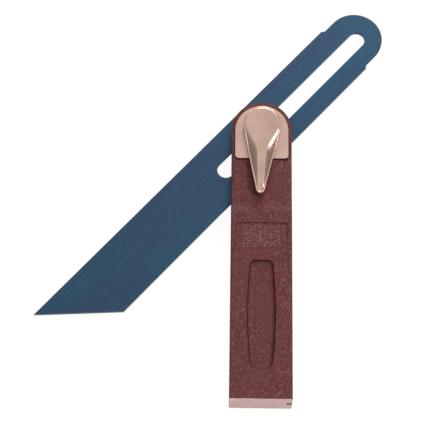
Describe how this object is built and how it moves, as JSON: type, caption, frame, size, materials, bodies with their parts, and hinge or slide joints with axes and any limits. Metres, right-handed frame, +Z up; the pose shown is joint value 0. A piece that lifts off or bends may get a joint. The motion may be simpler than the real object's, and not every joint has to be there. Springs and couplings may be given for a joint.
{
  "type": "sliding bevel",
  "caption": "Sliding bevel with a slotted blued-steel blade, a moulded wine-red stock and a teardrop locking lever.",
  "frame": {"origin": "middle of the stock's flat back, 50 mm below the bolt's axis, where the tool rests", "axes": "+Z up through the lever, +Y along the stock towards its head, +X across the stock to the right as seen from the lever side"},
  "size_m": [0.1504, 0.1823, 0.0205],
  "materials": {
    "stock_plastic": "satin",
    "blued_steel": "satin",
    "zinc_alloy": "satin",
    "plain_steel": "satin"
  },
  "bodies": {
    "stock": {"stock": "stock_plastic", "front_plate": "zinc_alloy", "back_washer": "plain_steel"},
    "slide_block": {"slide_block": "plain_steel"},
    "blade": {"blade": "blued_steel"},
    "lever": {"lever": "zinc_alloy", "lever_insert": "plain_steel", "spring_washer": "plain_steel"},
    "clamp_bolt": {"clamp_bolt": "plain_steel"}
  },
  "joints": [
    {"name": "blade_swing", "type": "hinge", "parent": "stock", "child": "slide_block", "pos_m": [0, 0.05, 0.008], "axis": [0, 0, 1], "range_deg": [-303, 28]},
    {"name": "blade_slide", "type": "slide", "parent": "slide_block", "child": "blade", "axis": [0.6704, 0.742, 0], "range_m": [-0.0627, 0.0222]},
    {"name": "lever_turn", "type": "hinge", "parent": "stock", "child": "lever", "pos_m": [0, 0.05, 0.0157], "axis": [0, 0, 1], "range_deg": [0, 110]},
    {"name": "bolt_draw", "type": "slide", "parent": "stock", "child": "clamp_bolt", "axis": [0, 0, -1], "range_m": [0, 0.00025]}
  ],
  "couplings": [
    {"joint": "bolt_draw", "follows": "lever_turn", "m_per_rad": 0.00012732}
  ]
}
